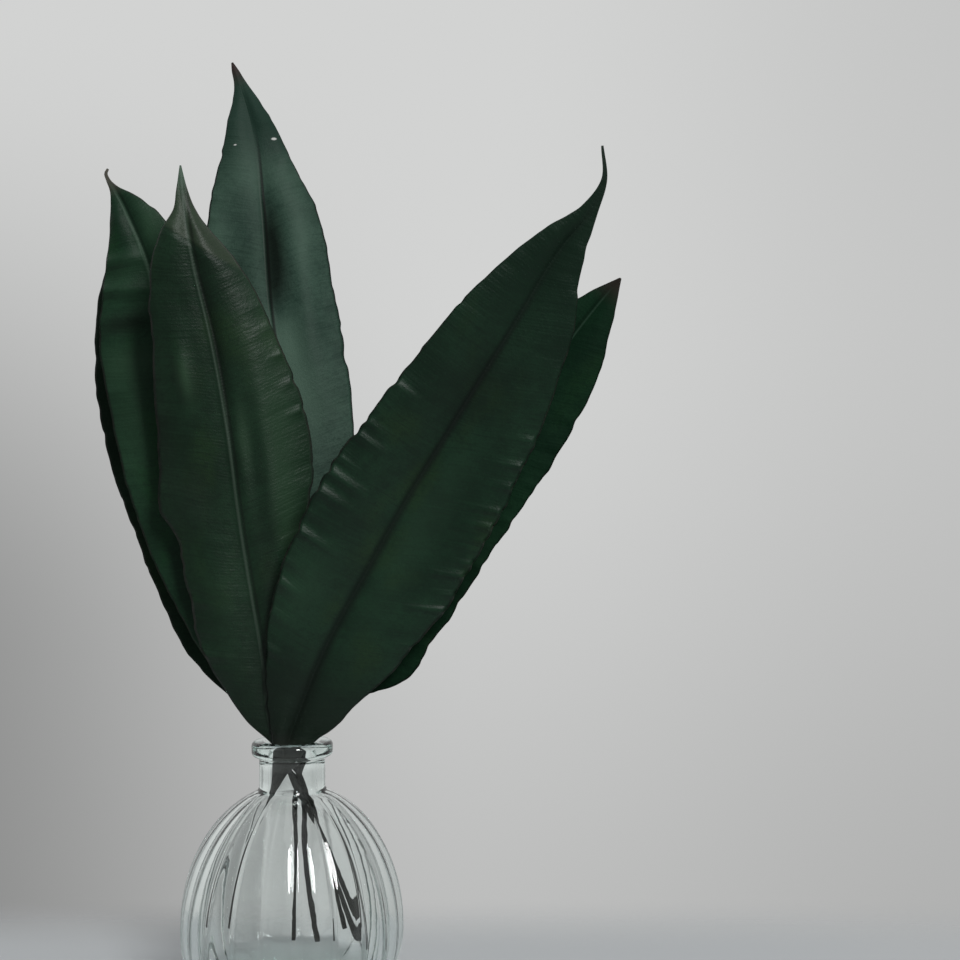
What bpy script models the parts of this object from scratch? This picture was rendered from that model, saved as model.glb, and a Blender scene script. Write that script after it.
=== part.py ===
"""Six long dark leaves standing in a ribbed clear-glass bud vase.

Metres, +Z up. The origin is the centre of the vase's base, and -Y is the front
of the arrangement. Each leaf is one piece from the cut end of its stalk, inside
the vase, to the tip of its blade.
"""

from math import cos, pi, sin, sqrt

import bmesh
import bpy
import numpy as np

MM = 0.001

# Vase, in millimetres
BODY_RADIUS = 44.0
WIDEST_HEIGHT = 34.0
UPPER_RISE = 56.0
LOWER_RISE = 43.0
WALL = 3.0
FLOOR_HEIGHT = 12.0
FLOOR_RADIUS = 20.0
BASE_RADIUS = 25.5
NECK_BOTTOM = 87.0
NECK_RADIUS = 13.0
BORE_RADIUS = 9.5
RIM_RADIUS = 16.0
RIM_BOTTOM = 101.0
VASE_HEIGHT = 107.0
LOBES = 20
STEPS_PER_LOBE = 4
FLUTE_RATIO = 0.035
FLUTE_FADE = 8.0

# Leaves, in millimetres
STALK_HALF_WIDTH = 1.2
STALK_THICKNESS = 1.5
BLADE_THICKNESS = 0.6
TIP_RIB_THICKNESS = 0.8
RIB_SHOULDER = 0.9
LEAF_RINGS = 38
SPAN_SAMPLES = 24
SPREAD_HEIGHT = 80.0

# One row for each place along a leaf, from the cut end to the tip: the midrib's
# x, y and z, then how far the blade reaches to its left and to its right.
# "cup" is how far the margins stand forward of the midrib, as a share of the reach.
# "turn" swings the right margin back and the left one forward, in degrees.
LEAVES = {
    "leaf_front_right": {
        "colour": (0.012, 0.032, 0.017),
        "cup": 0.12,
        "turn": 8,
        "rows": (
            (-24, -5.0, 36, 1.2, 1.2),
            (-18, -4.0, 60, 1.2, 1.2),
            (-7, -2.6, 88, 1.2, 1.2),
            (-1.2, -2.6, 107, 7.0, 8.5),
            (2.5, -3.4, 117, 12.5, 14.5),
            (11, -6, 138, 22, 24),
            (33, -14, 179, 32.5, 34),
            (46, -19.5, 202, 32.5, 33.5),
            (59, -25, 223, 29, 32.5),
            (86, -37, 266, 21, 23.5),
            (105, -46, 296, 9.5, 9),
            (114, -50, 307, 4, 3),
            (119, -54, 318, 1.2, 1.0),
            (118, -57, 329.5, 0.4, 0.4),
        ),
    },
    "leaf_front_left": {
        "colour": (0.013, 0.038, 0.020),
        "cup": -0.12,
        "turn": 5,
        "rows": (
            (25, -2.0, 36, 1.2, 1.2),
            (15, -1.4, 62, 1.2, 1.2),
            (2.5, -0.6, 87, 1.2, 1.2),
            (-7, -0.6, 107, 2.0, 2.0),
            (-9, -1.0, 115, 8, 3),
            (-11, -2.5, 135, 19.5, 8.5),
            (-17, -6.5, 175, 27.5, 22.5),
            (-22.5, -12, 220, 28, 31.5),
            (-29, -18.5, 264, 22.5, 24),
            (-35.5, -23, 295, 15, 14.5),
            (-38, -26, 314, 3.5, 3),
            (-39.5, -28.5, 327.5, 0.4, 0.4),
        ),
    },
    "leaf_right_back": {
        "colour": (0.010, 0.026, 0.014),
        "cup": 0.10,
        "turn": -10,
        "rows": (
            (-2, 5.0, 26, 1.2, 1.2),
            (0, 3.0, 56, 1.2, 1.2),
            (1.5, 1.4, 87, 1.2, 1.2),
            (5, 1.4, 107, 1.8, 2.6),
            (8.5, 1.6, 115, 4.5, 5),
            (16, 2.5, 132, 10, 13.5),
            (27, 3.3, 146, 13.5, 23.5),
            (40, 4.5, 163, 16, 23),
            (66, 7, 200, 18.5, 22),
            (91.5, 10.5, 237, 17, 21.5),
            (109, 13, 264, 14, 17),
            (122.5, 14.5, 281.5, 7, 8),
            (131.5, 15.5, 292, 0.4, 0.4),
        ),
    },
    "leaf_left": {
        "colour": (0.012, 0.040, 0.018),
        "cup": 0.08,
        "turn": -8,
        "rows": (
            (29, 5.0, 30, 1.2, 1.2),
            (17, 4.0, 60, 1.2, 1.2),
            (3, 3.4, 86, 1.2, 1.2),
            (-6.5, 3.4, 107, 1.5, 1.5),
            (-11.5, 3.5, 116, 5.5, 4),
            (-18, 3.8, 134, 12, 9.5),
            (-32.5, 4.6, 174, 20.5, 19.5),
            (-45, 5.8, 220, 24.5, 25),
            (-54.5, 7.2, 266.5, 24, 25.5),
            (-60, 8.2, 299, 17.5, 17),
            (-69.5, 9, 322, 6, 4.5),
            (-76, 9.5, 335, 0.4, 0.4),
        ),
    },
    "leaf_left_back": {
        "colour": (0.007, 0.018, 0.010),
        "cup": -0.06,
        "turn": -12,
        "rows": (
            (22, 8.5, 34, 1.2, 1.2),
            (14, 7.0, 60, 1.2, 1.2),
            (5, 5.4, 86, 1.2, 1.2),
            (-5, 5.4, 107, 1.5, 1.5),
            (-14, 6.0, 118, 4.5, 5),
            (-29.5, 8.5, 147, 15.5, 14.5),
            (-46, 13, 187, 19.5, 19),
            (-58, 18.5, 228, 23, 21),
            (-65, 24, 268, 22.5, 18),
            (-70, 28, 294, 15, 10),
            (-75, 31.5, 316, 0.4, 0.4),
        ),
    },
    "leaf_tall_back": {
        "colour": (0.030, 0.050, 0.038),
        "cup": -0.14,
        "turn": 6,
        "rows": (
            (10, 10.5, 24, 1.2, 1.2),
            (6, 8.5, 55, 1.2, 1.2),
            (3, 7.4, 87, 1.2, 1.2),
            (0, 7.4, 107, 2.0, 2.0),
            (0, 8.0, 115, 6, 6.5),
            (1, 10.5, 140, 14, 16),
            (1.5, 18, 191, 23, 25.5),
            (-1.5, 22.5, 219, 26, 25.5),
            (-12, 33, 275, 25.5, 27.5),
            (-18, 44, 328, 23, 21),
            (-24, 51, 362.5, 11, 9),
            (-30.5, 55.5, 383, 1.6, 2.3),
            (-33.5, 57.5, 391.5, 0.4, 0.4),
        ),
    },
}


def clear_scene():
    for old in list(bpy.data.objects):
        bpy.data.objects.remove(old, do_unlink=True)


def principled(name, colour, roughness, transmission=0.0):
    material = bpy.data.materials.new(name)
    material.use_nodes = True
    shader = material.node_tree.nodes["Principled BSDF"]
    shader.inputs["Base Color"].default_value = (*colour, 1.0)
    shader.inputs["Roughness"].default_value = roughness
    shader.inputs["Metallic"].default_value = 0.0
    shader.inputs["Transmission Weight"].default_value = transmission
    return material


def add_object(name, mesh, material, collection):
    mesh.materials.append(material)
    thing = bpy.data.objects.new(name, mesh)
    collection.objects.link(thing)
    return thing


def body_radius(height):
    """Outer radius of the vase's globe, in millimetres, before its lobes are cut."""
    rise = UPPER_RISE if height > WIDEST_HEIGHT else LOWER_RISE
    return BODY_RADIUS * sqrt(1 - ((height - WIDEST_HEIGHT) / rise) ** 2)


def vase_profile():
    """Radius and height, up the inside and down the outside, in millimetres."""
    inside = [(0, FLOOR_HEIGHT), (FLOOR_RADIUS, FLOOR_HEIGHT)]
    for height in (16, 24, 34, 46, 58, 68, 76, 82, 86):
        inside.append((body_radius(height) - WALL, height))
    inside.append((BORE_RADIUS, NECK_BOTTOM + 1.5))
    rim = [(BORE_RADIUS, VASE_HEIGHT - 1.5)]
    bead = (VASE_HEIGHT - RIM_BOTTOM) / 2
    for degrees in (120, 90, 50, 20, -20, -50, -90):
        angle = degrees * pi / 180
        radius = RIM_RADIUS - bead + bead * cos(angle)
        rim.append((radius, RIM_BOTTOM + bead + bead * sin(angle)))
    outside = [(NECK_RADIUS, RIM_BOTTOM - 0.5), (NECK_RADIUS, NECK_BOTTOM + 1.5)]
    for height in (86, 82, 76, 68, 58, 46, 34, 22, 12, 5, 1.5):
        outside.append((body_radius(height), height))
    outside += [(BASE_RADIUS, 0), (0, 0)]
    return inside + rim + outside


def turned_mesh(name, profile, steps):
    """The profile turned about Z by a Screw modifier, as a plain mesh in metres."""
    outline = bpy.data.meshes.new(name + "_outline")
    points = [(radius * MM, 0, height * MM) for radius, height in profile]
    edges = [(i, i + 1) for i in range(len(points) - 1)]
    outline.from_pydata(points, edges, [])
    lathe = bpy.data.objects.new(name + "_outline", outline)
    bpy.context.scene.collection.objects.link(lathe)
    screw = lathe.modifiers.new("Screw", "SCREW")
    screw.steps = steps
    screw.render_steps = steps
    screw.use_merge_vertices = True
    screw.merge_threshold = 0.00001
    graph = bpy.context.evaluated_depsgraph_get()
    mesh = bpy.data.meshes.new_from_object(lathe.evaluated_get(graph))
    bpy.data.objects.remove(lathe, do_unlink=True)
    return mesh


def cut_lobes(mesh):
    """Draws the globe's outside in along the valleys between its upright lobes."""
    for vertex in mesh.vertices:
        x, y, z = vertex.co / MM
        radius = sqrt(x * x + y * y)
        if not 0 < z < NECK_BOTTOM or radius < body_radius(z) - WALL / 2:
            continue
        fade = min(1, z / FLUTE_FADE, (NECK_BOTTOM - z) / FLUTE_FADE)
        valley = 1 - abs(cos(LOBES / 2 * np.arctan2(y, x)))
        shrink = 1 - FLUTE_RATIO * fade * valley
        vertex.co.x *= shrink
        vertex.co.y *= shrink


def glass_vase(collection):
    mesh = turned_mesh("glass_vase", vase_profile(), LOBES * STEPS_PER_LOBE)
    cut_lobes(mesh)
    mesh.shade_smooth()
    mesh.set_sharp_from_angle(angle=50 * pi / 180)
    glass = principled("clear_glass", (0.90, 0.96, 0.95), 0.03, transmission=1.0)
    return add_object("glass_vase", mesh, glass, collection)


def smooth_rows(rows):
    """A smooth run through the rows, as closely spaced rows (Hermite curves)."""
    rows = np.array(rows, dtype=float)
    span = np.linalg.norm(np.diff(rows[:, :3], axis=0), axis=1)[:, None]
    slope = np.diff(rows, axis=0) / span
    middle = (slope[:-1] * span[1:] + slope[1:] * span[:-1]) / (span[:-1] + span[1:])
    tangent = np.vstack([slope[:1], middle, slope[-1:]])
    t = np.linspace(0, 1, SPAN_SAMPLES, endpoint=False)[:, None]
    pieces = []
    for i in range(len(rows) - 1):
        blend = t * t * (3 - 2 * t)
        leave = t * (1 - t) ** 2 * span[i]
        arrive = t * t * (t - 1) * span[i]
        start = rows[i] * (1 - blend) + tangent[i] * leave
        pieces.append(start + rows[i + 1] * blend + tangent[i + 1] * arrive)
    pieces.append(rows[-1:])
    return np.vstack(pieces)


def even_rows(rows, count):
    """The same run read at evenly spaced places along the midrib."""
    fine = smooth_rows(rows)
    step = np.linalg.norm(np.diff(fine[:, :3], axis=0), axis=1)
    along = np.concatenate([[0], np.cumsum(step)])
    places = np.linspace(0, along[-1], count)
    return np.stack([np.interp(places, along, column) for column in fine.T], axis=1)


def leaf_ring(row, along, share, cup, turn):
    """The points of one section of a leaf, round its front and back, in millimetres."""
    centre, left, right = row[:3], row[3], row[4]
    spread = min(1, max(0, (centre[2] - VASE_HEIGHT) / SPREAD_HEIGHT))
    swing = turn * spread * pi / 180
    level = np.cross(along, (0, -1, 0))
    level /= np.linalg.norm(level)
    across = level * cos(swing) - np.cross(level, along) * sin(swing)
    front = np.cross(across, along)
    rib = STALK_THICKNESS + (TIP_RIB_THICKNESS - STALK_THICKNESS) * share
    reaches = [-left, -0.6 * left, -min(RIB_SHOULDER, 0.35 * left), 0]
    reaches += [min(RIB_SHOULDER, 0.35 * right), 0.6 * right, right]
    faces = {1: [], -1: []}
    for reach in reaches:
        side = left if reach < 0 else right
        edge = abs(reach) / side
        plate = BLADE_THICKNESS * (1 - edge**4)
        bulge = rib * sqrt(max(0, 1 - (reach / STALK_HALF_WIDTH) ** 2))
        thickness = min(max(plate, bulge), 1.2 * side)
        lift = cup * spread * abs(reach)
        for sign in (1, -1):
            offset = lift + sign * thickness / 2
            faces[sign].append(centre + across * reach + front * offset)
    return faces[1] + faces[-1][-2:0:-1]


def leaf_mesh(name, rows, cup, turn):
    """A closed loft from the cut end of the stalk to the tip of the blade."""
    rows = even_rows(rows, LEAF_RINGS)
    along = np.gradient(rows[:, :3], axis=0)
    along /= np.linalg.norm(along, axis=1)[:, None]
    form = bmesh.new()
    rings = []
    for i, row in enumerate(rows):
        points = leaf_ring(row, along[i], i / (len(rows) - 1), cup, turn)
        rings.append([form.verts.new(point * MM) for point in points])
    for lower, upper in zip(rings, rings[1:]):
        for i in range(len(lower)):
            j = (i + 1) % len(lower)
            form.faces.new((lower[i], lower[j], upper[j], upper[i]))
    form.faces.new(rings[0])
    form.faces.new(rings[-1])
    bmesh.ops.recalc_face_normals(form, faces=form.faces)
    mesh = bpy.data.meshes.new(name)
    form.to_mesh(mesh)
    form.free()
    return mesh


def leaf(name, spec, collection):
    mesh = leaf_mesh(name, spec["rows"], spec["cup"], spec["turn"])
    mesh.shade_smooth()
    mesh.set_sharp_from_angle(angle=60 * pi / 180)
    finish = principled(name + "_green", spec["colour"], 0.5)
    return add_object(name, mesh, finish, collection)


def main():
    clear_scene()
    parts = bpy.data.collections.new("leaves_in_glass_vase")
    bpy.context.scene.collection.children.link(parts)
    glass_vase(parts)
    for name, spec in LEAVES.items():
        leaf(name, spec, parts)


main()
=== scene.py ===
from math import pi, radians, sqrt
from types import SimpleNamespace

import bpy
import numpy as np
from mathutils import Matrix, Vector


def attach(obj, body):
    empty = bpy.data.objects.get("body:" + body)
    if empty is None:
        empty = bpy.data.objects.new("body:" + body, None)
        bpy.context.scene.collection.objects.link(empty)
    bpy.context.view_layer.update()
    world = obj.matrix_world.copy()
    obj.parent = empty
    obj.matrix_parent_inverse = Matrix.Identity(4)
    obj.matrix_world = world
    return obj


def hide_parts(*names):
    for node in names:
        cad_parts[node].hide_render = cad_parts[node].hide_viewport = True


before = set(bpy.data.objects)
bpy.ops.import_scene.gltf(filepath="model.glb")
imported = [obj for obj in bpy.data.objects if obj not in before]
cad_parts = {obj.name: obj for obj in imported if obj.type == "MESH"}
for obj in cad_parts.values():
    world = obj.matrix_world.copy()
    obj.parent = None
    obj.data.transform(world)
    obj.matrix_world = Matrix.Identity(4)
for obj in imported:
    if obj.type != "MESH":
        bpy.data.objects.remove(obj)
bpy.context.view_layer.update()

MM = 0.001

# Vase, in millimetres
BODY_RADIUS = 44.0
WIDEST_HEIGHT = 34.0
UPPER_RISE = 56.0
LOWER_RISE = 43.0
WALL = 3.0
FLOOR_HEIGHT = 12.0
FLOOR_RADIUS = 20.0
BASE_RADIUS = 25.5
NECK_BOTTOM = 87.0
NECK_RADIUS = 13.0
BORE_RADIUS = 9.5
LIP_ROUND = 2.0
RIM_RADIUS = 16.0
RIM_BOTTOM = 101.0
RIM_ROUND = 1.9
VASE_HEIGHT = 107.0
LOBES = 20
STEPS_PER_LOBE = 14
FLUTE_RATIO = 0.035
FLUTE_FADE = 8.0
LOBE_TURN = 2.0
INNER_FLUTE_SHARE = 0.85

# Leaves, in millimetres
BLADE_THICKNESS = 0.5
STALK_HALF_WIDTH = 1.2
STALK_THICKNESS = 1.5
TIP_RIB_THICKNESS = 0.7
RIB_RADIUS = 0.9
SPREAD_HEIGHT = 80.0
# The stalk opens into a blade from this half-width, over this much more of it.
BLADE_START = 2.0
BLADE_OPENING = 6.0
# Small waves in each margin's outline: spacing and height.
MARGIN_WAVES = ((12, 0.6), (4, 0.3))
NOTCH_SHARE = 0.45
# Slow waves that lift the margins: their spacings on the left and on the right.
LEFT_RUFFLES = (8, 20)
RIGHT_RUFFLES = (7, 18)
# The broad slow swell of the whole blade: spacing along it, reach across it, height.
SWELL_SPACING = 40
SWELL_REACH = 9.0
SWELL_HEIGHT = 0.8
VEIN_SPACING = 1.3
# A fold this deep gets the full painted shade in its valley.
DEEPEST_FOLD = 3.4

# Number of points along and across a leaf
SPAN_SAMPLES = 40
STATIONS = 420
HALF_COLUMNS = 26
COLUMN_POWER = 1.4

# The slanting crease near the front left leaf's tip, in millimetres and degrees
CREASED_LEAF = "leaf_front_left"
CREASE_ALONG = 197.0
CREASE_SLANT = 0.85
CREASE_ANGLE = 24.0
CREASE_SOFTNESS = 0.2
CREASE_DIP = 0.35
CREASE_DIP_RADIUS = 0.7
# Over this distance past the crease the blade turns to its painted paler, lit colour.
CREASE_BLEND = 1.2

# Studio, in metres
CAMERA_PLACE = (0.0743, -0.584, 0.210)
LENS_MM = 55.3
SENSOR_MM = 36.0
WINDOW_PLACE = (0.64, -1.26, 1.20)
WINDOW_AIM = (0, 0, 0.2)
WINDOW_SIZE = (0.36, 1.15)
WINDOW_POWER = 22
FLOOR_REACH = 0.55
FLOOR_SIDES = 96
FLOOR_DROP = 0.0004


def colour(red, green, blue):
    return (red, green, blue, 1.0)


STALK_TONE = colour(0.010, 0.011, 0.008)
# Painted shade where the blades crowd into the vase's mouth
MOUTH_SHADE_TONE = colour(0.0045, 0.0105, 0.006)
# Colour of the painted shade in folds, dark patches and beside the midrib
SHADE_TONE = colour(0.002, 0.004, 0.0025)
UNDER_TONE = colour(0.034, 0.062, 0.042)
FLECK_TONE = colour(0.55, 0.56, 0.53)
# How much brighter the painted highlights are than a leaf's bright tone
HIGHLIGHT_GAIN = 1.8

# A leaf without the steep fold beside its midrib
NO_FOLD = (0, 1, 0.0, 1.0)

# The fold's valley is also painted darker, as painted shade, the more so the deeper it is.
# One row for each place along a leaf, from the cut end to the tip: the midrib's
# x, y and z, then how far the blade reaches to its left and to its right.
# cup: how far the margins stand forward of the midrib, as a share of the reach.
# turn: swings the right margin back and the left one forward, in degrees.
# rib: how far the midrib stands out of the front face; below zero it is a groove.
# arch: how far each half of the blade bulges forward, left and right.
# groove: depth and radius of the broad dip along the midrib.
# fold: where the blade drops steeply just right of the midrib and climbs back:
# distance along the blade, reach along it, depth, and distance from the midrib.
# rib_tone, rib_width: colour of the line along the midrib, and its half-width at
# the vase's mouth and at rib_fade further along.
# On the front right and left back leaves the midrib line is near black, painted shade in their
# grooves; on the others it is paler, the midrib's own colour and partly a painted highlight.
# rib_shade: distance across the blade, and strength, of the painted shadow line by the midrib.
# tip_dark: how dark the skin grows towards the tip, from tip_reach before it.
# base_dark: how much painted shade darkens the skin at the vase's mouth.
# margin_tone, tip_tone: colours of the dry margin and of the tip itself.
# lean: how far the side veins climb towards the tip, left and right, per mm.
# ruffle: height of the slow waves that lift the margins.
# seed: starts the leaf's own irregular waves and noises.
# pleats: (distance along the blade, side, length, height, half-width) of each
# short fold that runs in from a margin.
# dents: (distance along, distance across, radius along, radius across, height).
# shades: the same, but each is painted shade that darkens the skin, or a painted
# highlight that pales it where its last value is below zero.
# flecks: (distance along, distance across, radius) of each small dry white fleck.
LEAVES = {
    "leaf_front_right": {
        "slot": "dark_leaf",
        "cup": 0.12,
        "turn": 8,
        "rib": -0.55,
        "arch": (1.2, 0.8),
        "groove": (0.9, 3.0),
        "fold": NO_FOLD,
        "rib_tone": colour(0.003, 0.007, 0.005),
        "rib_width": (3.3, 2.1),
        "rib_shade": (0.0, 0.0),
        "rib_fade": 200.0,
        "tip_dark": 0.85,
        "tip_reach": 110.0,
        "base_dark": 0.85,
        "margin_tone": colour(0.040, 0.042, 0.032),
        "tip_tone": colour(0.008, 0.018, 0.011),
        "lean": (0.10, 0.42),
        "ruffle": 0.55,
        "seed": 3,
        "rows": (
            (-25, -5.0, 34, 1.6, 1.6),
            (-18.5, -4.0, 60, 1.6, 1.6),
            (-7, -2.6, 88, 1.2, 1.2),
            (-1.2, -2.6, 107, 7.0, 8.5),
            (2.5, -3.4, 117, 12.5, 14.5),
            (11, -6, 138, 22, 24),
            (33, -14, 179, 32.5, 34),
            (46, -19.5, 202, 32.5, 33.5),
            (59, -25, 223, 29, 32.5),
            (86, -37, 266, 21, 23.5),
            (105, -46, 296, 9.5, 9),
            (114, -50, 307, 4, 3),
            (119, -54, 318, 1.2, 1.0),
            (118, -57, 329.5, 0.4, 0.4),
        ),
        "pleats": (
            (32, -1, 10, 1.5, 1.9),
            (45, -1, 12, 0.9, 2.2),
            (57, -1, 13, 1.7, 2.1),
            (66, -1, 15, 0.9, 2.4),
            (79, -1, 20, 1.9, 2.2),
            (88, -1, 12, 1.0, 1.8),
            (97, -1, 22, 1.7, 2.2),
            (105, -1, 25, 1.9, 2.0),
            (111, -1, 12, 1.2, 1.6),
            (122, -1, 17, 1.6, 1.9),
            (128, -1, 10, 1.0, 1.6),
            (146, -1, 12, 1.1, 1.8),
            (58, 1, 9, 1.2, 1.8),
            (77, 1, 16, 1.5, 1.6),
            (84, 1, 9, 1.1, 1.4),
            (93, 1, 15, 1.5, 1.5),
            (99, 1, 10, 1.4, 1.5),
            (110, 1, 9, 1.1, 1.3),
            (117, 1, 13, 1.4, 1.4),
            (124, 1, 14, 1.3, 1.4),
            (134, 1, 11, 1.2, 1.4),
            (143, 1, 12, 1.2, 1.4),
            (154, 1, 9, 0.9, 1.6),
        ),
        "dents": (
            (60, -16, 24, 9, 1.4),
            (100, 17, 34, 9, -1.0),
            (112, -16, 22, 9, 1.0),
            (150, -12, 24, 8, 0.9),
        ),
        "shades": (
            (98, 9, 55, 8, -0.22),
            (58, -20, 18, 9, -0.4),
            (118, -17, 26, 9, 0.15),
            (160, 0, 24, 14, 0.35),
            (16, 0, 14, 22, 0.3),
        ),
        "flecks": (),
    },
    "leaf_front_left": {
        "slot": "green_leaf",
        "cup": -0.17,
        "turn": 5,
        "rib": 0.45,
        "arch": (1.6, 2.6),
        "groove": (0.5, 3.5),
        "fold": (158, 32, 1.6, 1.3),
        "rib_tone": colour(0.042, 0.066, 0.047),
        "rib_width": (0.95, 0.8),
        "rib_shade": (1.5, 0.5),
        "rib_fade": 60.0,
        "tip_dark": 0.0,
        "tip_reach": 110.0,
        "base_dark": 0.6,
        "margin_tone": colour(0.030, 0.030, 0.022),
        "tip_tone": colour(0.05, 0.09, 0.06),
        "lean": (0.25, 0.25),
        "ruffle": 0.35,
        "seed": 5,
        "rows": (
            (29, -2.0, 25, 1.0, 1.0),
            (15, -1.4, 62, 0.9, 0.9),
            (2.5, -0.6, 87, 1.2, 1.2),
            (-7, -0.6, 107, 2.0, 2.0),
            (-9, -1.0, 115, 8, 3),
            (-11, -2.5, 135, 19.5, 8.5),
            (-17, -6.5, 175, 25.0, 22.5),
            (-19.2, -8.6, 191, 25.6, 26.5),
            (-20.3, -9.9, 200, 29.6, 28.8),
            (-22.5, -12, 220, 28, 31.5),
            (-29, -18.5, 264, 22.5, 24),
            (-35.5, -23, 295, 15.5, 14),
            (-37.1, -24.8, 306, 9.5, 7.5),
            (-38, -26, 313.5, 4.0, 3.4),
            (-38.8, -27.2, 320, 2.3, 1.9),
            (-39.6, -28.5, 329.4, 0.3, 0.3),
        ),
        "pleats": (
            (128, 1, 9, 1.1, 1.6),
            (139, 1, 9, 1.2, 1.6),
            (150, 1, 8, 1.0, 1.4),
            (161, 1, 8, 0.8, 1.6),
            (38, -1, 13, 1.1, 2.4),
            (60, -1, 10, 0.9, 2.2),
            (118, -1, 7, 0.6, 2.2),
        ),
        "dents": (
            (150, -13, 11, 3.6, 1.8),
            (108, 3.8, 24, 3.2, 1.3),
            (110, 14.5, 46, 5.5, 1.8),
            (60, -12, 26, 8, 1.2),
            (176, -9, 9, 6, -0.8),
            (96, -11, 14, 7, -0.8),
        ),
        "shades": (
            (147, -12.5, 8, 2.4, -0.9),
            (130, -26, 40, 5.0, 0.35),
            (120, 6, 12, 2.6, -0.5),
            (112, 11.5, 16, 2.6, 0.35),
            (125, 20, 46, 9.0, -0.5),
            (85, 18, 24, 5.0, -0.4),
            (55, 10, 26, 5.0, 0.5),
            (98, -16, 15, 9.0, 0.35),
            (60, -12, 18, 8.0, -0.15),
        ),
        "flecks": (),
    },
    "leaf_right_back": {
        "slot": "dark_leaf",
        "cup": 0.10,
        "turn": -10,
        "rib": -0.3,
        "arch": (0.8, 1.5),
        "groove": (0.4, 3.0),
        "fold": NO_FOLD,
        "rib_tone": colour(0.03, 0.06, 0.04),
        "rib_width": (0.8, 0.6),
        "rib_shade": (-1.0, 0.4),
        "rib_fade": 60.0,
        "tip_dark": 0.3,
        "tip_reach": 110.0,
        "base_dark": 0.55,
        "margin_tone": colour(0.020, 0.018, 0.014),
        "tip_tone": colour(0.02, 0.017, 0.014),
        "lean": (0.2, 0.35),
        "ruffle": 0.5,
        "seed": 7,
        "rows": (
            (-2, 5.0, 26, 0.7, 0.7),
            (0, 3.0, 56, 0.9, 0.9),
            (1.5, 1.4, 87, 1.2, 1.2),
            (5, 1.4, 107, 1.8, 2.6),
            (8.5, 1.6, 115, 4.5, 5),
            (16, 2.5, 132, 10, 13.5),
            (27, 3.3, 146, 13.5, 23.5),
            (40, 4.5, 163, 16, 23),
            (66, 7, 200, 18.5, 22),
            (91.5, 10.5, 237, 17, 21.5),
            (109, 13, 264, 14, 17),
            (122.5, 14.5, 281.5, 7, 8),
            (131.5, 15.5, 292, 0.4, 0.4),
        ),
        "pleats": (
            (60, 1, 9, 1.3, 2.2),
            (80, 1, 9, 1.1, 2.2),
            (97, 1, 10, 1.3, 2.4),
            (118, 1, 8, 1.0, 2.2),
            (135, 1, 9, 1.1, 2.2),
            (165, 1, 9, 0.8, 2.2),
        ),
        "dents": ((120, 10, 26, 8, -0.7),),
        "shades": (
            (105, 12, 22, 10, -0.35),
            (150, -4, 18, 10, -0.25),
        ),
        "flecks": (),
    },
    "leaf_left": {
        "slot": "green_leaf",
        "cup": 0.08,
        "turn": -8,
        "rib": 0.4,
        "arch": (1.5, 1.0),
        "groove": (0.5, 3.0),
        "fold": (190, 40, 0.7, 1.8),
        "rib_tone": colour(0.05, 0.09, 0.06),
        "rib_width": (1.2, 0.9),
        "rib_shade": (1.3, 0.5),
        "rib_fade": 60.0,
        "tip_dark": 0.2,
        "tip_reach": 110.0,
        "base_dark": 0.1,
        "margin_tone": colour(0.030, 0.028, 0.022),
        "tip_tone": colour(0.09, 0.085, 0.07),
        "lean": (0.15, 0.3),
        "ruffle": 0.35,
        "seed": 11,
        "rows": (
            (32, 5.0, 22, 1.0, 1.0),
            (17, 4.0, 60, 0.9, 0.9),
            (3, 3.4, 86, 1.2, 1.2),
            (-6.5, 3.4, 107, 1.5, 1.5),
            (-11.5, 3.5, 116, 5.5, 4),
            (-18, 3.8, 134, 12, 9.5),
            (-32.5, 4.6, 174, 20.5, 19.5),
            (-45, 5.8, 220, 24.5, 25),
            (-54.5, 7.2, 266.5, 24, 25.5),
            (-60, 8.2, 299, 17.5, 17),
            (-69.8, 9, 321.5, 5, 6.5),
            (-73.2, 9.2, 327.2, 1.7, 2.0),
            (-75.3, 9.3, 330.8, 0.8, 0.8),
            (-76.2, 9.4, 333.4, 0.6, 0.6),
            (-75.4, 9.5, 335.2, 0.4, 0.4),
        ),
        "pleats": (
            (190, -1, 26, 2.3, 3.0),
            (203, -1, 26, 2.3, 3.0),
            (90, -1, 9, 0.9, 2.4),
            (120, -1, 12, 0.9, 2.6),
            (150, -1, 12, 0.8, 2.6),
        ),
        "dents": (
            (184, -12, 5, 13, -0.8),
            (130, -14, 26, 6, 1.2),
            (212, 0, 14, 9, 2.2),
            (80, -12, 24, 6, -0.8),
        ),
        "shades": (
            (175, -13, 4.2, 15, 0.9),
            (216, -8, 8, 7, 0.35),
            (208, 9, 14, 8, -0.7),
            (170, 9, 12, 8, -0.6),
            (196, -12, 9, 12, -0.25),
            (160, -12, 6, 12, -0.4),
            (135, -16, 34, 10, -0.3),
            (60, 0, 26, 12, 0.1),
        ),
        "flecks": (),
    },
    "leaf_left_back": {
        "slot": "shaded_leaf",
        "cup": -0.06,
        "turn": -12,
        "rib": -0.3,
        "arch": (1.0, 1.0),
        "groove": (0.4, 3.0),
        "fold": NO_FOLD,
        "rib_tone": colour(0.003, 0.006, 0.004),
        "rib_width": (1.0, 0.8),
        "rib_shade": (0.0, 0.0),
        "rib_fade": 60.0,
        "tip_dark": 0.0,
        "tip_reach": 110.0,
        "base_dark": 0.55,
        "margin_tone": colour(0.020, 0.017, 0.014),
        "tip_tone": colour(0.01, 0.01, 0.008),
        "lean": (0.25, 0.25),
        "ruffle": 0.6,
        "seed": 13,
        "rows": (
            (23, 8.5, 30, 1.0, 1.0),
            (14, 7.0, 60, 0.9, 0.9),
            (5, 5.4, 86, 1.2, 1.2),
            (-5, 5.4, 107, 1.5, 1.5),
            (-14, 6.0, 118, 4.5, 5),
            (-29.5, 8.5, 147, 15.5, 14.5),
            (-46, 13, 187, 19.5, 19),
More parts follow.
